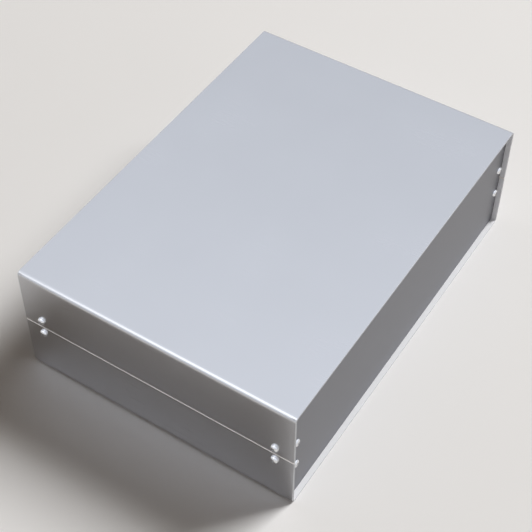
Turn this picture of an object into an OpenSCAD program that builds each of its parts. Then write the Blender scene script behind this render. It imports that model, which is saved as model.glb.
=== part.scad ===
// Flat metal case for a circuit: two channel-shaped half shells that meet at a
// seam along both side walls, a recessed flat panel at each open end, and four
// tapped corner brackets that tie shells and panels together with screws.
// Millimetres. +Z is up, the case stands on z = 0, X runs across the side walls
// and the front panel faces -Y.

/* [Case] */
// Width across the outside of the two side walls
case_w = 280; // [150:1:420]
// Depth from one open end to the other
case_d = 200; // [100:1:400]
// Height from the underside to the top
case_h = 88; // [56:1:170]

/* [Shells] */
// Wall thickness of both half shells
shell_t = 1.5; // [1:0.1:3]
// Radius on the inside of the long bends
bend_in_r = 1.5; // [0.5:0.1:5]
// Open line left between the two shells along each side wall
seam_gap = 0.5; // [0.1:0.1:1.5]

/* [End panels] */
// Thickness of the flat panels
panel_t = 2; // [1:0.1:3.5]
// Distance from the shells' open end back to a panel's outer face
panel_recess = 3.5; // [2.5:0.1:5]
// Room all round between a panel's edge and the shells
panel_clear = 0.3; // [0.1:0.05:0.8]

/* [Corner brackets] */
// Thickness of the bent bracket strip
bracket_t = 2; // [1.5:0.1:3]
// Radius on the inside of a bracket's bend
bracket_in_r = 1; // [0.5:0.1:1.5]
// Metal from the centre of a tapped hole to the free edge beyond it
bracket_edge = 6.5; // [4.5:0.1:9]
// Radius of a bracket's free corners
bracket_corner_r = 2; // [0.5:0.1:4]

/* [Screw places] */
// From a shell's open end to its side screws
side_screw_in = 13.5; // [11.5:0.1:20]
// From the seam up or down to each side screw
side_screw_off = 6; // [4.5:0.1:7.5]
// From a side wall's inner face to the panel screws
panel_screw_in = 5.5; // [4.5:0.1:9]
// From half height up or down to each panel screw
panel_screw_off = 11; // [9:0.1:14]

/* [Screws] */
// Outer diameter of the thread
thread_d = 3; // [2:0.1:4]
// Length under the head
screw_l = 6; // [5:0.1:8]
// Diameter of the pan head
head_d = 5.5; // [5:0.1:7]
// Height of the pan head
head_h = 2; // [1.6:0.1:2.4]
// Radius of the dome on the head
head_dome_r = 5.5; // [4.5:0.1:12]
// Width across the cross recess at the head's top
recess_w = 3; // [2:0.1:3.6]
// Width of one slot of the cross recess
recess_slot = 0.7; // [0.4:0.05:1]
// Depth of the cross recess below the head's top
recess_depth = 1.3; // [0.8:0.1:1.5]
// Length of the cone at the screw's tip
tip_chamfer = 0.5; // [0.2:0.1:1]
// Room round a thread in a plain hole, on each side
hole_clear = 0.2; // [0.1:0.05:0.4]
// Room round a thread in a tapped hole, on each side
tapped_clear = 0.05; // [0.02:0.01:0.1]

/* [Hidden] */
$fn = 64;
// Length by which a cutter runs past the faces that it cuts
over = 1;
mid_z = case_h / 2;
shell_wall_h = (case_h - seam_gap) / 2;
bend_out_r = bend_in_r + shell_t;
inner_x = case_w / 2 - shell_t;
panel_front_y = case_d / 2 - panel_recess;
panel_back_y = panel_front_y - panel_t;
panel_w = 2 * (inner_x - panel_clear);
panel_h = case_h - 2 * (shell_t + panel_clear);
side_screw_y = case_d / 2 - side_screw_in;
panel_screw_x = inner_x - panel_screw_in;
// The two legs of a bracket reach past their screws, from its outer corner
bracket_out_r = bracket_in_r + bracket_t;
side_screw_from_panel = side_screw_in - panel_recess - panel_t;
side_leg = side_screw_from_panel + bracket_edge;
panel_leg = panel_screw_in + bracket_edge;
bracket_h = 2 * (panel_screw_off + bracket_edge);
// Height at which a slot of the cross recess runs out through the dome. The
// slot then narrows to a third of its width at the recess's floor
recess_rim_z = head_h - head_dome_r + sqrt(pow(head_dome_r, 2) - pow(recess_w / 2, 2));
recess_floor_w = recess_w / 3;

// One row for each corner: its name, and the signs of its X and Y
CORNERS = [
    ["front_left", -1, -1],
    ["front_right", 1, -1],
    ["rear_left", -1, 1],
    ["rear_right", 1, 1]
];
// The two screws of a pair: name, and the sign of its height off the middle
LEVELS = [["upper", 1], ["lower", -1]];
// The two ends of the case: name, and the sign of its Y
ENDS = [["front", -1], ["rear", 1]];

// Outline of a trough: flat below, round at its two lower corners, open above
module trough_outline(w, h, r) {
    translate([-w / 2 + r, 0]) square([w - 2 * r, h]);
    translate([-w / 2, r]) square([w, h - r]);
    for (side = [-1, 1]) translate([side * (w / 2 - r), r]) circle(r);
}

// The section that both shells share: a wide U of even wall
module shell_section() {
    difference() {
        trough_outline(case_w, shell_wall_h, bend_out_r);
        translate([0, shell_t]) trough_outline(2 * inner_x, shell_wall_h, bend_in_r);
    }
}

// A straight hole through both side walls, centred on the case
module cross_hole(d) {
    rotate([0, 90, 0]) cylinder(d = d, h = case_w + 2 * over, center = true);
}

// One half shell as it lies with its floor down: the section run along the depth
module half_shell() {
    difference() {
        rotate([90, 0, 0]) linear_extrude(case_d, center = true) shell_section();
        for (e = ENDS) {
            translate([0, e[1] * side_screw_y, mid_z - side_screw_off])
                cross_hole(thread_d + 2 * hole_clear);
        }
    }
}

module bottom_shell() {
    color([0.78, 0.80, 0.84]) half_shell();
}

// The same shell turned over on top of the other
module top_shell() {
    color([0.80, 0.82, 0.86]) translate([0, 0, case_h]) rotate([0, 180, 0]) half_shell();
}

// Flat plate whose corners follow the shells' inner bends
module panel_outline() {
    for (x = [-1, 1], z = [-1, 1]) {
        translate([x * (panel_w / 2 - bend_in_r), z * (panel_h / 2 - bend_in_r)]) circle(bend_in_r);
    }
    square([panel_w, panel_h - 2 * bend_in_r], center = true);
    square([panel_w - 2 * bend_in_r, panel_h], center = true);
}

// Front panel, with its outer face towards -Y
module end_panel() {
    translate([0, -panel_back_y, mid_z]) rotate([90, 0, 0]) linear_extrude(panel_t) {
        difference() {
            panel_outline();
            for (x = [-1, 1], z = [-1, 1]) {
                translate([x * panel_screw_x, z * panel_screw_off]) circle(d = thread_d + 2 * hole_clear);
            }
        }
    }
}

module panel_at(e) {
    color([0.66, 0.67, 0.69]) rotate([0, 0, e[1] > 0 ? 180 : 0]) end_panel();
}

// Places what is drawn for the front left corner at corner c
module at_corner(c) {
    mirror([c[1] > 0 ? 1 : 0, 0, 0]) mirror([0, c[2] > 0 ? 1 : 0, 0]) children();
}

// Section of a bent strip, with its outer corner at the origin and its legs on +X and +Y
module angle_section(x_leg, y_leg) {
    difference() {
        union() {
            translate([bracket_out_r, 0]) square([x_leg - bracket_out_r, bracket_t]);
            translate([0, bracket_out_r]) square([bracket_t, y_leg - bracket_out_r]);
            intersection() {
                translate([bracket_out_r, bracket_out_r]) circle(bracket_out_r);
                square(bracket_out_r);
            }
        }
        translate([bracket_out_r, bracket_out_r]) circle(bracket_in_r);
    }
}

// What is cut off to round a square corner that sits at the origin and points to +X +Y
module corner_cutter(r, depth) {
    difference() {
        translate([-r, -r, -over]) cube([r + over, r + over, depth + 2 * over]);
        translate([-r, -r, -2 * over]) cylinder(r = r, h = depth + 4 * over);
    }
}

// Bracket of the front left corner: one leg on the side wall, one behind the panel
module corner_bracket() {
    tapped_d = thread_d + 2 * tapped_clear;
    translate([-inner_x, -panel_back_y, mid_z]) difference() {
        linear_extrude(bracket_h, center = true) angle_section(panel_leg, side_leg);
        for (l = LEVELS) {
            translate([-over, side_screw_from_panel, l[1] * side_screw_off])
                rotate([0, 90, 0]) cylinder(d = tapped_d, h = bracket_t + 2 * over);
            translate([panel_screw_in, -over, l[1] * panel_screw_off])
                rotate([-90, 0, 0]) cylinder(d = tapped_d, h = bracket_t + 2 * over);
        }
        for (up = [0, 1]) mirror([0, 0, up]) {
            translate([0, side_leg, bracket_h / 2])
                rotate([90, 0, 90]) corner_cutter(bracket_corner_r, bracket_t);
            translate([panel_leg, bracket_t, bracket_h / 2])
                rotate([90, 0, 0]) corner_cutter(bracket_corner_r, bracket_t);
        }
    }
}

module bracket_at(c) {
    color([0.72, 0.71, 0.66]) at_corner(c) corner_bracket();
}

// One tapered slot of the cross recess, seen from the side
module recess_slot_outline() {
    polygon([
        [-recess_w / 2, head_h + over],
        [-recess_w / 2, recess_rim_z],
        [-recess_floor_w / 2, head_h - recess_depth],
        [recess_floor_w / 2, head_h - recess_depth],
        [recess_w / 2, recess_rim_z],
        [recess_w / 2, head_h + over]
    ]);
}

// Pan-head machine screw: its head stands on z = 0 and its thread hangs below
module pan_head_screw() {
    difference() {
        intersection() {
            cylinder(d = head_d, h = head_h + over);
            translate([0, 0, head_h - head_dome_r]) sphere(head_dome_r);
        }
        for (turn = [0, 90]) {
            rotate([90, 0, turn]) linear_extrude(recess_slot, center = true) recess_slot_outline();
        }
    }
    translate([0, 0, tip_chamfer - screw_l]) cylinder(d = thread_d, h = screw_l - tip_chamfer);
    translate([0, 0, -screw_l])
        cylinder(d1 = thread_d - 2 * tip_chamfer, d2 = thread_d, h = tip_chamfer);
}

// Screw through a shell's side wall into the bracket
module shell_screw_at(c, l) {
    color([0.86, 0.87, 0.89]) at_corner(c)
        translate([-case_w / 2, -side_screw_y, mid_z + l[1] * side_screw_off])
            rotate([0, -90, 0]) pan_head_screw();
}

// Screw through an end panel into the bracket
module panel_screw_at(c, l) {
    color([0.86, 0.87, 0.89]) at_corner(c)
        translate([-panel_screw_x, -panel_front_y, mid_z + l[1] * panel_screw_off])
            rotate([90, 0, 0]) pan_head_screw();
}

top_shell();
bottom_shell();
for (e = ENDS) {
    panel_at(e);
}
for (c = CORNERS) {
    bracket_at(c);
}
for (c = CORNERS, l = LEVELS) {
    shell_screw_at(c, l);
    panel_screw_at(c, l);
}
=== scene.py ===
# %% [markdown]
# # A flat metal case in two half shells
# The case is a housing for a circuit. Two wide U-shaped shells of bare
# aluminium meet at a seam along both side walls, and a flat panel closes each
# open end. Four bent brackets inside the corners hold shells and panels
# together with sixteen small screws. A measured model of all 24 pieces is
# loaded first. It fixes every size, and the cells below give the pieces the
# edges, surfaces and light that the measured model leaves out.

# %% Load the measured model
import math

import bmesh
import bpy
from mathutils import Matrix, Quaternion, Vector


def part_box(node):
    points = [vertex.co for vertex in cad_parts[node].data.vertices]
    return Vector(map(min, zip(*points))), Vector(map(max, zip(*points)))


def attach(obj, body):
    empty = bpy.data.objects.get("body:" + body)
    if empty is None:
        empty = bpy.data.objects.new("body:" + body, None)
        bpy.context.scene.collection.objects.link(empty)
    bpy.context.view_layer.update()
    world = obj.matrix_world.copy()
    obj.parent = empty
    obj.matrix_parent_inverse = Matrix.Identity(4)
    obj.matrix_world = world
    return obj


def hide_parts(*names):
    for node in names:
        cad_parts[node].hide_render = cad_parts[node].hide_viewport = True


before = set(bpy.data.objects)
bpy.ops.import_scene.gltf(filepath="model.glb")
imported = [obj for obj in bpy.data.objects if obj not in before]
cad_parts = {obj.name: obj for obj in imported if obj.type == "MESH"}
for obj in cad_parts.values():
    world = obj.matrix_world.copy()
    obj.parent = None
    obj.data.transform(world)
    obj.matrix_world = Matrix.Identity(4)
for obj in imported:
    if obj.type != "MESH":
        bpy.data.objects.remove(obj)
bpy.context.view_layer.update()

# %% [markdown]
# ## Sizes
# Blender works in metres here, and small parts are easier to think of in
# millimetres, so MM is the one conversion. The main sizes are read from the
# measured pieces instead of being typed again, because a size that is written
# twice can disagree with itself. Only what a box can't show, such as a bend's
# radius or the width of a screw's recess, is given as a number.

# %% Read the sizes of the pieces
MM = 0.001
TURN = 2 * math.pi
BEND_IN_R = 1.5 * MM

shell_low, shell_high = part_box("bottom_shell")
case_w = shell_high.x - shell_low.x
case_d = shell_high.y - shell_low.y
case_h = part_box("top_shell")[1].z
wall_h = shell_high.z - shell_low.z
shell_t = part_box("bracket_front_left")[0].x - shell_low.x
panel_front_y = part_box("front_panel")[0].y

side_screw_low, side_screw_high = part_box("shell_screw_front_left_upper")
panel_screw_low, panel_screw_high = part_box("panel_screw_front_left_upper")
side_screw = (side_screw_low + side_screw_high) / 2
panel_screw = (panel_screw_low + panel_screw_high) / 2
head_d = side_screw_high.z - side_screw_low.z
head_h = shell_low.x - side_screw_low.x
screw_l = side_screw_high.x - shell_low.x
print(f"case {case_w / MM:.0f} x {case_d / MM:.0f} x {case_h / MM:.0f} mm, wall {shell_t / MM:.2f} mm")
print(f"screw head {head_d / MM:.2f} x {head_h / MM:.2f} mm, {screw_l / MM:.1f} mm long under the head")

# %% [markdown]
# ## Camera
# The camera looks down over the near corner, so that the top, one side wall and
# the front panel all show. It could be turned with three angles, but a compass
# direction, a height above the horizon and a point to aim at are easier to
# read. A long lens keeps the long edges nearly parallel, as a photographer of
# small goods would choose.

# %% Place the camera
CAMERA_AZIMUTH = -57.636
CAMERA_ELEVATION = 48.836
CAMERA_ROLL = 0.456
CAMERA_DISTANCE = 0.8359
CAMERA_AIM = Vector((-20.6, -3.9, 44.0)) * MM
CAMERA_LENS = 85.975


def outward(azimuth, elevation):
    """Unit vector from the case towards a compass direction, in degrees, at a height above the horizon."""
    a, e = math.radians(azimuth), math.radians(elevation)
    return Vector((math.sin(a) * math.cos(e), -math.cos(a) * math.cos(e), math.sin(e)))


camera = bpy.data.objects.new("camera", bpy.data.cameras.new("camera"))
bpy.context.scene.collection.objects.link(camera)
bpy.context.scene.camera = camera
back = outward(CAMERA_AZIMUTH, CAMERA_ELEVATION)
camera.location = CAMERA_AIM + back * CAMERA_DISTANCE
camera.rotation_mode = "QUATERNION"
roll = Quaternion((0, 0, 1), math.radians(CAMERA_ROLL))
camera.rotation_quaternion = back.to_track_quat("Z", "Y") @ roll
camera.data.lens = CAMERA_LENS
camera.data.sensor_width = 36
camera.data.clip_start, camera.data.clip_end = 0.01, 50
print("camera at", [round(v, 3) for v in camera.location])

# %% [markdown]
# ## Node trees as Python expressions
# Materials and Geometry Nodes are both trees of small sums, and wiring each sum
# by hand takes many lines. The two classes below let a script write
# `0.3 + 0.1 * cloud` instead: Signal is one output of a node, and every
# operator on it adds the Math node that works the result out. The reflected
# operators, such as `__radd__`, are what makes a plain number on the left work.
# Every other kind of node comes from Graph.node, which sets the node's own
# settings first, because they decide which sockets it has.

# %% Wrap sockets and trees
class Signal:
    """One output of a node, with Python's arithmetic."""

    def __init__(self, graph, socket):
        self.graph = graph
        self.socket = socket

    def also(self, name):
        """Another output of the same node."""
        return Signal(self.graph, pick(self.socket.node.outputs, name))

    def __add__(self, other):
        return self.graph.maths("ADD", self, other)

    def __radd__(self, other):
        return self.graph.maths("ADD", other, self)

    def __sub__(self, other):
        return self.graph.maths("SUBTRACT", self, other)

    def __rsub__(self, other):
        return self.graph.maths("SUBTRACT", other, self)

    def __mul__(self, other):
        return self.graph.maths("MULTIPLY", self, other)

    def __rmul__(self, other):
        return self.graph.maths("MULTIPLY", other, self)

    def __truediv__(self, other):
        return self.graph.maths("DIVIDE", self, other)

    def __rtruediv__(self, other):
        return self.graph.maths("DIVIDE", other, self)

    def __pow__(self, other):
        return self.graph.maths("POWER", self, other)

    def __lt__(self, other):
        return self.graph.maths("LESS_THAN", self, other)

    def __gt__(self, other):
        return self.graph.maths("GREATER_THAN", self, other)


def pick(sockets, key):
    """A socket by its number, its identifier or its name."""
    if isinstance(key, int):
        return sockets[key]
    named = [s for s in sockets if s.identifier == key]
    named = named or [s for s in sockets if s.name == key and s.enabled]
    return named[0]


class Graph:
    """A node tree that is written one node at a time."""

    def __init__(self, tree):
        self.tree = tree
        self.tree.nodes.clear()

    def node(self, kind, settings=None, inputs=None, output=0):
        """Adds a node: its type, its settings, then the values or links of its sockets."""
        node = self.tree.nodes.new(kind)
        for key, value in (settings or {}).items():
            if key == "stops":
                while len(node.color_ramp.elements) < len(value):
                    node.color_ramp.elements.new(1.0)
                for element, (place, colour) in zip(node.color_ramp.elements, value):
                    element.position = place
                    element.color = (*colour, 1.0)
            else:
                setattr(node, key, value)
        for key, value in (inputs or {}).items():
            socket = pick(node.inputs, key)
            if isinstance(value, Signal):
                self.tree.links.new(value.socket, socket)
            elif isinstance(value, list):
                for signal in value:
                    self.tree.links.new(signal.socket, socket)
            elif socket.type == "RGBA" and len(value) == 3:
                socket.default_value = (*value, 1.0)
            elif socket.type == "VECTOR" and isinstance(value, (int, float)):
                socket.default_value = (value, value, value)
            else:
                socket.default_value = value
        return Signal(self, pick(node.outputs, output)) if node.outputs else node

    def maths(self, operation, *terms):
        """A Math node, or Vector Math where one of the terms is a vector."""
        is_vector = any(isinstance(t, Signal) and t.socket.type == "VECTOR" for t in terms)
        kind = "ShaderNodeVectorMath" if is_vector else "ShaderNodeMath"
        return self.node(kind, {"operation": operation}, dict(enumerate(terms)))

    def vector(self, x, y, z):
        """A vector made of three numbers or signals."""
        return self.node("ShaderNodeCombineXYZ", None, {"X": x, "Y": y, "Z": z})

    def mix(self, factor, start, end):
        """From one colour to another as the factor goes from 0 to 1."""
        return self.node(
            "ShaderNodeMix", {"data_type": "RGBA"},
            {"Factor_Float": factor, "A_Color": start, "B_Color": end}, "Result_Color")


print("node trees can be written as expressions")

# %% [markdown]
# ## Bare aluminium
# The shells are bare metal with a satin face and no coat of paint, so most of
# the look is in how evenly the metal reflects. Soft clouds are left by the
# washing of the metal, and very fine lines by the die, along the length of the
# section. Both are noise on the piece's own coordinates. For the lines, the noise
# is squeezed across the section and stretched along the depth, which turns its
# blobs into streaks. The sawn ends are duller. Two places get painted light in
# their colour: a painted highlight along the long edges at the seam, and a
# near-white matt painted highlight on the rims inside the open ends. A
# comparison of the coordinates with the case's own sizes finds each of these
# places. The panels are a darker, duller sheet of the same metal.

# %% Make the metal finishes
def surface(name):
    """A new material, its graph, and the piece's own coordinates in metres."""
    material = bpy.data.materials.new(name)
    material.use_nodes = True
    graph = Graph(material.node_tree)
    place = graph.node("ShaderNodeTexCoord", None, None, "Object")
    return material, graph, place


def noise(graph, place, feature, detail=2.0):
    """Noise from 0 to 1. The feature is the size of its blobs, in metres, along X, Y and Z."""
    squeezed = place * graph.vector(*(1 / size for size in feature))
    return graph.node(
        "ShaderNodeTexNoise", None,
        {"Vector": squeezed, "Scale": 1.0, "Detail": detail, "Roughness": 0.5}, "Fac")


def finish_metal(graph, colour, roughness, relief=None, relief_depth=0.0, metallic=1.0):
    """Ends a material: a metal whose colour and roughness may vary, with a fine relief."""
    inputs = {"Base Color": colour, "Roughness": roughness, "Metallic": metallic}
    if relief is not None:
        inputs["Normal"] = graph.node(
            "ShaderNodeBump", None, {"Height": relief, "Distance": relief_depth, "Strength": 1.0})
    shader = graph.node("ShaderNodeBsdfPrincipled", None, inputs)
    graph.node("ShaderNodeOutputMaterial", None, {"Surface": shader})


def rolled_metal(name, pale, dull, roughness, line, cloud):
    """Bare aluminium: clouds between a pale and a dull tone, fine lines, sawn ends, and painted highlights
    at the seam and on the inner rims.
    """
    material, graph, place = surface(name)
    clouds = noise(graph, place, (cloud, cloud, cloud), 3.0)
    lines = noise(graph, place, line, 1.0)
    face = graph.mix(clouds, dull, pale)
    satin = roughness + 0.05 * (clouds - 0.5) + 0.04 * (lines - 0.5)
    split = graph.node("ShaderNodeSeparateXYZ", None, {"Vector": place})
    far_x = graph.maths("ABSOLUTE", split)
    far_y = graph.maths("ABSOLUTE", split.also("Y"))
    far_z = graph.maths("ABSOLUTE", split.also("Z") - case_h / 2)
    is_sawn = far_y > case_d / 2 - 0.05 * MM
    is_inner = (far_x < case_w / 2 - shell_t / 2) * (far_z < case_h / 2 - shell_t / 2)
    # Painted highlight: the inner rims of the open ends get a near-white, mostly matt colour that stands in
    # for their bright reflection.
    is_rim_highlight = is_inner * (far_y > -panel_front_y) * (1 - is_sawn)
    # Painted highlight: a narrow band along the seam edges of both walls gets a near-white colour.
    is_seam_highlight = (far_z < SEAM_HIGHLIGHT_BAND) * (far_x > case_w / 2 - 1.5 * shell_t)
    colour = graph.mix(is_sawn, graph.mix(is_rim_highlight, face, RIM_HIGHLIGHT), SAWN)
    colour = graph.mix(is_seam_highlight * (1 - is_sawn), colour, SEAM_HIGHLIGHT)
    gloss = satin + 0.15 * is_sawn + 0.2 * is_rim_highlight
    finish_metal(graph, colour, gloss, lines, 0.0006 * MM, 1 - 0.85 * is_rim_highlight)
    return material


SAWN = (0.48, 0.49, 0.51)
# Near-white colour of the painted highlight along the seam.
SEAM_HIGHLIGHT = (0.92, 0.89, 0.86)
SEAM_HIGHLIGHT_BAND = 0.7 * MM
# Near-white colour of the painted highlight on the inner rims.
RIM_HIGHLIGHT = (0.90, 0.905, 0.93)
FINE, LONG = 0.25 * MM, 90 * MM
shell_metal = rolled_metal(
    "satin_aluminium", (0.645, 0.65, 0.67), (0.605, 0.61, 0.63),
    roughness=0.26, line=(FINE, LONG, FINE), cloud=60 * MM)
panel_metal = rolled_metal(
    "dull_aluminium", (0.235, 0.237, 0.255), (0.205, 0.207, 0.225),
    roughness=0.42, line=(LONG, FINE, FINE), cloud=40 * MM)
print("made", shell_metal.name, "and", panel_metal.name)

# %% [markdown]
# The brackets and the screws are steel under a thin bright zinc coat. Zinc
# settles in soft patches that are a little bluer or a little yellower. The
# screws are so small that tool marks can't be told apart on them. A fine
# speckle in the gloss is enough, and it keeps the small heads from looking like
# glass beads. The recess gets a darker colour of its own, which is painted
# shade for the shadow inside the cross, and a rougher finish, because the punch
# leaves it rough.

# %% Make the zinc finishes
def zinc(name, cool, warm, roughness, patch):
    """Bright zinc plate: cool and warm patches, with a fine speckle in the gloss."""
    material, graph, place = surface(name)
    patches = noise(graph, place, (patch, patch, patch), 2.0)
    speckle = noise(graph, place, (0.4 * MM, 0.4 * MM, 0.4 * MM), 2.0)
    gloss = roughness + 0.08 * (speckle - 0.5) + 0.06 * (patches - 0.5)
    finish_metal(graph, graph.mix(patches, cool, warm), gloss, speckle, 0.002 * MM)
    return material


bracket_zinc = zinc("bracket_zinc", (0.62, 0.63, 0.65), (0.66, 0.63, 0.55), 0.34, 9 * MM)
screw_zinc = zinc("screw_zinc", (0.84, 0.85, 0.88), (0.86, 0.86, 0.86), 0.20, 3 * MM)
# Painted shade: the recess colour is darker, standing in for the shadow inside the cross.
recess_zinc = zinc("recess_zinc", (0.36, 0.36, 0.37), (0.42, 0.41, 0.40), 0.40, 1 * MM)
print("made", bracket_zinc.name + ",", screw_zinc.name, "and", recess_zinc.name)

# %% [markdown]
# ## Running a tree
# A Geometry Nodes tree is a recipe with named inputs. Each input is set by its
# socket's identifier before the tree is first worked out, because the name is
# only a label. The result is then copied into a plain mesh and the recipe is
# taken away, so that what is left is an ordinary piece like any other. The last
# step gives a piece its body and hides the measured pieces that it stands for.

# %% Build and run Geometry Nodes trees
SOCKETS = {float: "NodeSocketFloat", int: "NodeSocketInt", type(None): "NodeSocketMaterial"}


def recipe(name, defaults):
    """A geometry tree with one named input for each default, and those inputs as signals."""
    tree = bpy.data.node_groups.new(name, "GeometryNodeTree")
    tree.is_modifier = True
    for label, value in defaults.items():
        socket = tree.interface.new_socket(label, in_out="INPUT", socket_type=SOCKETS[type(value)])
        if value is not None:
            socket.default_value = value
    tree.interface.new_socket("Geometry", in_out="OUTPUT", socket_type="NodeSocketGeometry")
    graph = Graph(tree)
    given = graph.node("NodeGroupInput")
    return graph, {label: given.also(label) for label in defaults}


def plain_mesh(obj):
    """The object as its modifiers leave it, as a mesh with none."""
    bpy.context.view_layer.update()
    graph = bpy.context.evaluated_depsgraph_get()
    return bpy.data.meshes.new_from_object(
        obj.evaluated_get(graph), preserve_all_data_layers=True, depsgraph=graph)


def piece(name, mesh, slot, *nodes):
    """An object of the case from a finished mesh, in place of the measured nodes."""
    made = bpy.data.objects.new(name, mesh)
    mesh.name = name
    bpy.context.scene.collection.objects.link(made)
    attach(made, "root")
    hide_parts(*nodes)
    print(f"{name}: {len(mesh.polygons)} faces for {len(nodes)} measured piece(s)")


def run(graph, values):
    """The mesh that a geometry tree makes from these values of its inputs."""
    blank = bpy.data.objects.new("blank", bpy.data.meshes.new("blank"))
    bpy.context.scene.collection.objects.link(blank)
    modifier = blank.modifiers.new("recipe", "NODES")
    modifier.node_group = graph.tree
    for item in graph.tree.interface.items_tree:
        if item.in_out == "INPUT":
            modifier[item.identifier] = values[item.name]
    mesh = plain_mesh(blank)
    blank.modifiers.clear()
    bpy.data.objects.remove(blank)
    return mesh


def finish_tree(graph, solid, material, kept=None, crease=0.6):
    """Ends a tree: no instances left, smooth faces, sharp creases, one material but on kept faces."""
    solid = graph.node("GeometryNodeRealizeInstances", None, {"Geometry": solid})
    angle = graph.node("GeometryNodeInputMeshEdgeAngle", None, None, "Unsigned Angle")
    solid = graph.node("GeometryNodeSetShadeSmooth", {"domain": "FACE"},
                       {"Geometry": solid, "Shade Smooth": True})
    solid = graph.node("GeometryNodeSetShadeSmooth", {"domain": "EDGE"},
                       {"Geometry": solid, "Selection": angle > crease, "Shade Smooth": False})
    rest = True
    if kept is not None:
        rest = 1 - graph.node("GeometryNodeMaterialSelection", None, {"Material": kept})
    solid = graph.node("GeometryNodeSetMaterial", None,
                       {"Geometry": solid, "Selection": rest, "Material": material})
    graph.node("NodeGroupOutput", None, {"Geometry": solid})


print("recipes can be run")

# %% [markdown]
# ## The two shells
# A shell is one section, a wide U of even wall, run along the depth of the
# case. Extruded or bent, its shape follows that rule, so a short tree can make
# both shells: four points give the U, Fillet Curve rounds its two bends, and
# Curve to Mesh sweeps a thin upright rectangle, as deep as the case, along it.
# Two long cylinders then cut the four screw holes. The top shell is the same
# piece turned over and lifted.

# %% Write the shell's tree
shell_graph, size = recipe("half_shell", {
    "Width": 0.28, "Wall height": 0.04375, "Depth": 0.2, "Wall": 0.0015, "Bend radius": 0.0015,
    "Bend steps": 14, "Hole diameter": 0.0034, "Hole depth": 0.0865, "Hole height": 0.038,
    "Turn": 0.0, "Lift": 0.0, "Material": None})
g = shell_graph

step = g.node("GeometryNodeInputIndex") - 1.5
across = g.maths("SIGN", step) * (size["Width"] / 2 - size["Wall"] / 2)
is_free_end = g.maths("ABSOLUTE", step) > 1
up = size["Wall"] / 2 + is_free_end * (size["Wall height"] - size["Wall"] / 2)
points = g.node("GeometryNodeMeshLine", None, {"Count": 4})
points = g.node("GeometryNodeSetPosition", None,
                {"Geometry": points, "Position": g.vector(across, up, 0)})
bare_u = g.node("GeometryNodeMeshToCurve", None, {"Mesh": points})
bent_u = g.node("GeometryNodeFilletCurve", {"mode": "POLY"}, {
    "Curve": bare_u, "Radius": size["Bend radius"] + size["Wall"] / 2, "Count": size["Bend steps"]})
strip = g.node("GeometryNodeCurvePrimitiveQuadrilateral", None,
               {"Width": size["Wall"], "Height": size["Depth"]})
channel = g.node("GeometryNodeCurveToMesh", None,
                 {"Curve": bent_u, "Profile Curve": strip, "Fill Caps": True})

drill = g.node("GeometryNodeMeshCylinder", None, {
    "Vertices": 40, "Radius": size["Hole diameter"] / 2, "Depth": size["Width"] + 0.01}, "Mesh")
drill = g.node("GeometryNodeTransform", None, {"Geometry": drill, "Rotation": (0, TURN / 4, 0)})
end = g.node("GeometryNodeInputIndex") * 2 - 1
places = g.node("GeometryNodeMeshLine", None, {"Count": 2})
places = g.node("GeometryNodeSetPosition", None, {
    "Geometry": places, "Position": g.vector(0, size["Hole height"], end * size["Hole depth"])})
drills = g.node("GeometryNodeInstanceOnPoints", None, {"Points": places, "Instance": drill})
drills = g.node("GeometryNodeRealizeInstances", None, {"Geometry": drills})
channel = g.node("GeometryNodeMeshBoolean", {"operation": "DIFFERENCE", "solver": "EXACT"},
                 {"Mesh 1": channel, "Mesh 2": drills}, "Mesh")
channel = g.node("GeometryNodeTransform", None, {
    "Geometry": channel, "Rotation": g.vector(size["Turn"], 0, 0),
    "Translation": g.vector(0, 0, size["Lift"])})
finish_tree(g, channel, size["Material"])
print("the shell's tree has", len(g.tree.nodes), "nodes")

# %% [markdown]
# A knife-sharp edge reflects nothing, and no real cut edge is sharp, so every
# piece has its edges broken by a fraction of a millimetre. Bevel does that.
# Weighted Normal then keeps the broad faces shading as flat planes, because
# without it a smooth bend tilts the shading of the whole wall beside it.

# %% Break the edges and make the shells
def ease(mesh, width, segments=2):
    """The mesh with its sharp edges broken and its broad faces kept flat."""
    blank = bpy.data.objects.new("blank", mesh)
    bpy.context.scene.collection.objects.link(blank)
    bevel = blank.modifiers.new("broken edges", "BEVEL")
    bevel.width, bevel.segments, bevel.limit_method = width, segments, "ANGLE"
    bevel.angle_limit = math.radians(35)
    bevel.use_clamp_overlap = True
    normals = blank.modifiers.new("flat faces", "WEIGHTED_NORMAL")
    normals.mode, normals.weight, normals.keep_sharp = "FACE_AREA", 50, False
    eased = plain_mesh(blank)
    blank.modifiers.clear()
    bpy.data.objects.remove(blank)
    return eased


SHELL_EDGE = 0.3 * MM
BEND_STEPS = 14
SCREW_HOLE_D = 3.4 * MM
shell_sizes = {
    "Width": case_w, "Wall height": wall_h, "Depth": case_d, "Wall": shell_t, "Bend radius": BEND_IN_R,
    "Bend steps": BEND_STEPS, "Hole diameter": SCREW_HOLE_D, "Hole depth": -side_screw.y,
    "Hole height": case_h - side_screw.z, "Material": shell_metal}
lower_mesh = run(shell_graph, {**shell_sizes, "Turn": TURN / 4, "Lift": 0.0})
upper_mesh = run(shell_graph, {**shell_sizes, "Turn": -TURN / 4, "Lift": case_h})
piece("lower_shell", ease(lower_mesh, SHELL_EDGE), "shell_aluminium", "bottom_shell")
piece("upper_shell", ease(upper_mesh, SHELL_EDGE), "shell_aluminium", "top_shell")

# %% [markdown]
# ## Panels and brackets
# The panels and brackets are already right as measured solids: flat plate with
# holes, and bent strip with tapped holes. A measured mesh is loose triangles and
# stays as it is, so a copy is merged, its flat triangles are joined into whole
# faces, and the copy gets broken edges.

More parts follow.
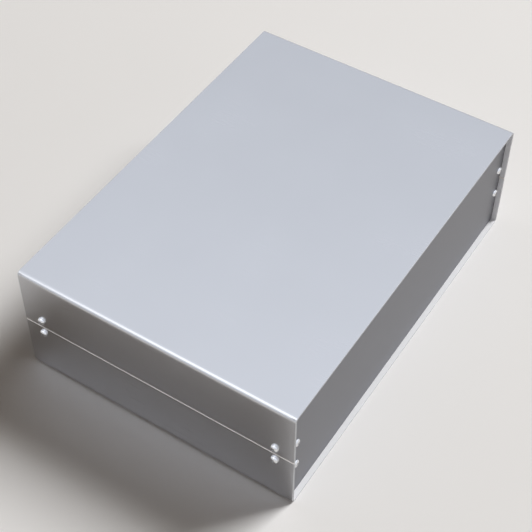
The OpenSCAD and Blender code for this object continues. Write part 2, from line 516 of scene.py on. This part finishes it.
# %% Copy and ease the flat parts
def merged_copy(node):
    """A copy of a measured node's mesh as one connected surface with whole flat faces."""
    shape = bmesh.new()
    shape.from_mesh(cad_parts[node].data)
    bmesh.ops.remove_doubles(shape, verts=shape.verts, dist=0.001 * MM)
    bmesh.ops.dissolve_limit(shape, angle_limit=math.radians(1), verts=shape.verts, edges=shape.edges)
    for face in shape.faces:
        face.smooth = True
    mesh = bpy.data.meshes.new(node)
    shape.to_mesh(mesh)
    shape.free()
    return mesh


PLATE_EDGE = 0.15 * MM
plates = [("front_panel", panel_metal, "panel_aluminium"), ("rear_panel", panel_metal, "panel_aluminium")]
plates += [(f"bracket_{corner}", bracket_zinc, "bracket_steel")
           for corner in ("front_left", "front_right", "rear_left", "rear_right")]
for node, material, slot in plates:
    eased = ease(merged_copy(node), PLATE_EDGE)
    eased.materials.clear()
    eased.materials.append(material)
    piece(node.replace("panel", "plate") if "panel" in node else f"{node}_plated", eased, slot, node)

# %% [markdown]
# ## Screws
# All sixteen screws are one pan-head machine screw. A turned part is a grid
# rolled round an axis: one direction of the grid is the angle, the other runs
# along the profile, and two sums say how far out and how high each point is.
# The head's profile is a superellipse, which is nearly flat on top and turns
# down at the rim. The thread is the same grid with a ripple that climbs one
# pitch a turn. A tapered cross is cut from the head, and the tree then puts the
# screw at eight places, each turned by a random angle from a fixed seed,
# because no two screws stop at the same turn.

# %% Write the screws' tree
screw_graph, size = recipe("screws", {
    "Head diameter": 0.0055, "Head height": 0.002, "Thread diameter": 0.003, "Pitch": 0.0005,
    "Length": 0.006, "Recess width": 0.003, "Slot width": 0.0007, "Recess depth": 0.0013,
    "Across": 0.14, "Along": 0.0865, "Middle": 0.044, "Above middle": 0.006,
    "Sideways": 1.0, "Seed": 0, "Material": None, "Recess material": None})
g = screw_graph


def turned(rows, columns, profile):
    """A closed turned solid. From an angle and a place from 0 to 1, the profile gives radius and height."""
    grid = g.node("GeometryNodeMeshGrid", None,
                  {"Size X": 1, "Size Y": 1, "Vertices X": columns + 1, "Vertices Y": rows + 1}, "Mesh")
    spot = g.node("GeometryNodeInputPosition")
    split = g.node("ShaderNodeSeparateXYZ", None, {"Vector": spot})
    angle = (split.also("X") + 0.5) * TURN
    along = split.also("Y") + 0.5
    is_inner = (along > 0.5 / rows) * (along < 1 - 0.5 / rows)
    inner = g.node("ShaderNodeClamp", None, {"Value": (along * rows - 1) / (rows - 2)})
    radius, height = profile(angle, inner)
    radius = radius * is_inner
    rolled = g.vector(radius * g.maths("COSINE", angle), radius * g.maths("SINE", angle), height)
    grid = g.node("GeometryNodeSetPosition", None, {"Geometry": grid, "Position": rolled})
    return g.node("GeometryNodeMergeByDistance", None, {"Geometry": grid, "Distance": 1e-6})


ROUNDNESS = 0.78


def head_profile(angle, along):
    """A superellipse from the middle of the top to the rim at the base."""
    sweep = (0.04 + 0.96 * along) * (TURN / 4)
    out = size["Head diameter"] / 2 * g.maths("SINE", sweep) ** ROUNDNESS
    up = size["Head height"] * g.maths("MAXIMUM", g.maths("COSINE", sweep), 0) ** ROUNDNESS
    return out, up


def thread_profile(angle, along):
    """A ripple of one pitch a turn on a straight shank, cut back to a cone at the tip."""
    height = along * (size["Length"] + 0.3 * MM) - size["Length"]
    phase = g.maths("FRACT", height / size["Pitch"] - angle / TURN + 20)
    crest = 1 - g.maths("ABSOLUTE", phase * 2 - 1)
    out = size["Thread diameter"] / 2 - size["Pitch"] * 0.6 * (1 - crest)
    tip = size["Thread diameter"] / 2 - 0.5 * MM + (height + size["Length"])
    return g.maths("MINIMUM", out, tip), height


def recess_blade(turn):
    """One bar of the cross, widest at the head's top and narrowed to its floor."""
    tall = size["Recess depth"] + 0.4 * MM
    bar = g.node("GeometryNodeMeshCube", None,
                 {"Size": g.vector(size["Recess width"], size["Slot width"], tall)}, "Mesh")
    spot = g.node("GeometryNodeInputPosition")
    split = g.node("ShaderNodeSeparateXYZ", None, {"Vector": spot})
    taper = 0.75 + 0.42 * g.maths("SIGN", split.also("Z"))
    bar = g.node("GeometryNodeSetPosition", None, {
        "Geometry": bar, "Position": g.vector(split.also("X") * taper, split.also("Y"), split.also("Z"))})
    # The cross's faces take the recess colour, which is painted shade.
    bar = g.node("GeometryNodeSetMaterial", None, {"Geometry": bar, "Material": size["Recess material"]})
    middle = size["Head height"] + 0.2 * MM - size["Recess depth"] / 2
    return g.node("GeometryNodeTransform", None, {
        "Geometry": bar, "Rotation": (0, 0, turn), "Translation": g.vector(0, 0, middle)})


def solid(operation, *solids):
    """Solids joined into one, or the first with the others cut away."""
    inputs = {"Mesh 2": list(solids)}
    if operation == "DIFFERENCE":
        inputs = {"Mesh 1": solids[0], "Mesh 2": list(solids[1:])}
    return g.node("GeometryNodeMeshBoolean", {"operation": operation, "solver": "EXACT"}, inputs, "Mesh")


head = turned(20, 48, head_profile)
shank = turned(98, 24, thread_profile)
recess = solid("UNION", recess_blade(0.0), recess_blade(TURN / 4))
screw = solid("DIFFERENCE", solid("UNION", head, shank), recess)

number = g.node("GeometryNodeInputIndex")
side = g.maths("MODULO", number, 2) * 2 - 1
end = g.maths("MODULO", g.maths("FLOOR", number / 2), 2) * 2 - 1
level = g.maths("FLOOR", number / 4) * 2 - 1
spots = g.node("GeometryNodeMeshLine", None, {"Count": 8})
spots = g.node("GeometryNodeSetPosition", None, {"Geometry": spots, "Position": g.vector(
    side * size["Across"], end * size["Along"], size["Middle"] + level * size["Above middle"])})
outwards = g.vector(side * size["Sideways"], end * (1 - size["Sideways"]), 0)
facing = g.node("FunctionNodeAlignRotationToVector", {"axis": "Z"}, {"Vector": outwards})
stop = g.node("FunctionNodeRandomValue", {"data_type": "FLOAT"},
              {"Min_001": 0.0, "Max_001": TURN, "Seed": size["Seed"]}, 1)
spin = g.node("FunctionNodeEulerToRotation", None, {"Euler": g.vector(0, 0, stop)})
facing = g.node("FunctionNodeRotateRotation", {"rotation_space": "LOCAL"},
                {"Rotation": facing, "Rotate By": spin})
screws = g.node("GeometryNodeInstanceOnPoints", None,
                {"Points": spots, "Instance": screw, "Rotation": facing})
finish_tree(g, screws, size["Material"], size["Recess material"])
print("the screws' tree has", len(g.tree.nodes), "nodes")

# %% [markdown]
# The same tree runs twice. Eight screws go through the side walls, close to the
# seam on both sides of it, and face sideways. The other eight go through the
# panels and face the open ends.

# %% Make the screws
CORNERS = ("front_left", "front_right", "rear_left", "rear_right")
THREAD_D, PITCH = 3.0 * MM, 0.5 * MM
RECESS_W, SLOT_W, RECESS_DEPTH = 3.0 * MM, 0.7 * MM, 1.3 * MM
screw_sizes = {
    "Head diameter": head_d, "Head height": head_h, "Thread diameter": THREAD_D, "Pitch": PITCH,
    "Length": screw_l, "Recess width": RECESS_W, "Slot width": SLOT_W, "Recess depth": RECESS_DEPTH,
    "Middle": case_h / 2, "Material": screw_zinc, "Recess material": recess_zinc}
side_mesh = run(screw_graph, {
    **screw_sizes, "Across": case_w / 2, "Along": -side_screw.y,
    "Above middle": side_screw.z - case_h / 2, "Sideways": 1.0, "Seed": 4})
panel_mesh = run(screw_graph, {
    **screw_sizes, "Across": -panel_screw.x, "Along": -panel_front_y,
    "Above middle": panel_screw.z - case_h / 2, "Sideways": 0.0, "Seed": 9})
piece("side_screws", side_mesh, "screw_steel", *[
    f"shell_screw_{corner}_{level}" for corner in CORNERS for level in ("upper", "lower")])
piece("panel_screws", panel_mesh, "screw_steel", *[
    f"panel_screw_{corner}_{level}" for corner in CORNERS for level in ("upper", "lower")])

# %% [markdown]
# ## Floor and light
# Satin metal looks like whatever stands around it, so the light is half of the
# finish. A pale matt floor lies under the case. The key is a large soft light,
# far off on the right and a little to the front. It lights the floor that the
# front panel mirrors, and it leaves the floor beside the left wall in shadow, so
# that wall mirrors a darker tone. The top mirrors the sky, which is a pale dome
# that grows a little brighter upwards.

# %% Lay the floor
floor_material, g, place = surface("pale_floor")
mottle = noise(g, place, (120 * MM, 120 * MM, 120 * MM), 2.0)
finish_metal(g, g.mix(mottle, (0.865, 0.86, 0.855), (0.88, 0.875, 0.87)), 0.9, metallic=0.0)
FLOOR_HALF = 6.0
floor_mesh = bpy.data.meshes.new("floor")
floor_mesh.from_pydata(
    [(x * FLOOR_HALF, y * FLOOR_HALF, 0) for x, y in ((-1, -1), (1, -1), (1, 1), (-1, 1))],
    [], [(0, 1, 2, 3)])
floor_mesh.materials.append(floor_material)
floor = bpy.data.objects.new("floor", floor_mesh)
bpy.context.scene.collection.objects.link(floor)
print("floor", 2 * FLOOR_HALF, "m wide")

# %% [markdown]
# A soft light is given here by what it looks like from the case: its direction,
# its distance, its width and height, and its brightness, where 1 is white. Its
# power follows from the brightness and the area.

# %% Set the lights
def softbox(name, towards, distance, width, height, brightness):
    """A flat soft light that faces the case."""
    light = bpy.data.lights.new(name, "AREA")
    light.shape, light.size, light.size_y = "RECTANGLE", width, height
    light.energy = brightness * width * height * math.pi
    lamp = bpy.data.objects.new(name, light)
    bpy.context.scene.collection.objects.link(lamp)
    away = Vector(towards).normalized()
    lamp.location = Vector((0, 0, case_h)) + away * distance
    lamp.rotation_mode = "QUATERNION"
    lamp.rotation_quaternion = away.to_track_quat("Z", "Y")
    print(f"{name}: {light.energy:.1f} W at", [round(v, 2) for v in lamp.location])
    return lamp


key = softbox("key", (0.62, -0.33, 0.71), 9.0, 3.6, 3.6, 21)
key.visible_glossy = False
left_strip = softbox("left_strip", (-0.60, 0.28, 0.75), 1.5, 0.9, 1.2, 0.8)
left_strip.visible_diffuse = False
softbox("front_right", (0.60, -0.36, 0.72), 1.5, 0.5, 0.5, 1.2)

world = bpy.data.worlds.new("studio")
bpy.context.scene.world = world
world.use_nodes = True
g = Graph(world.node_tree)
rays = g.node("ShaderNodeLightPath")
is_seen = g.maths("MAXIMUM", g.maths("MAXIMUM", rays.also("Is Camera Ray"), rays.also("Is Glossy Ray")),
                  rays.also("Is Transmission Ray"))
FILL = 0.10
sky = g.node("ShaderNodeTexCoord", None, None, "Generated")
up = g.node("ShaderNodeSeparateXYZ", None, {"Vector": sky}, "Z")
dome = g.node("ShaderNodeMapRange", None, {
    "Value": up, "From Min": 0.60, "From Max": 0.85, "To Min": 0.82, "To Max": 1.08})
air = g.node("ShaderNodeBackground", None, {
    "Color": g.mix(is_seen, (1.0, 0.78, 0.56), (0.96, 1.0, 1.08)),
    "Strength": FILL + (dome - FILL) * is_seen})
g.node("ShaderNodeOutputWorld", None, {"Surface": air})
bpy.context.scene.view_settings.view_transform = "Standard"
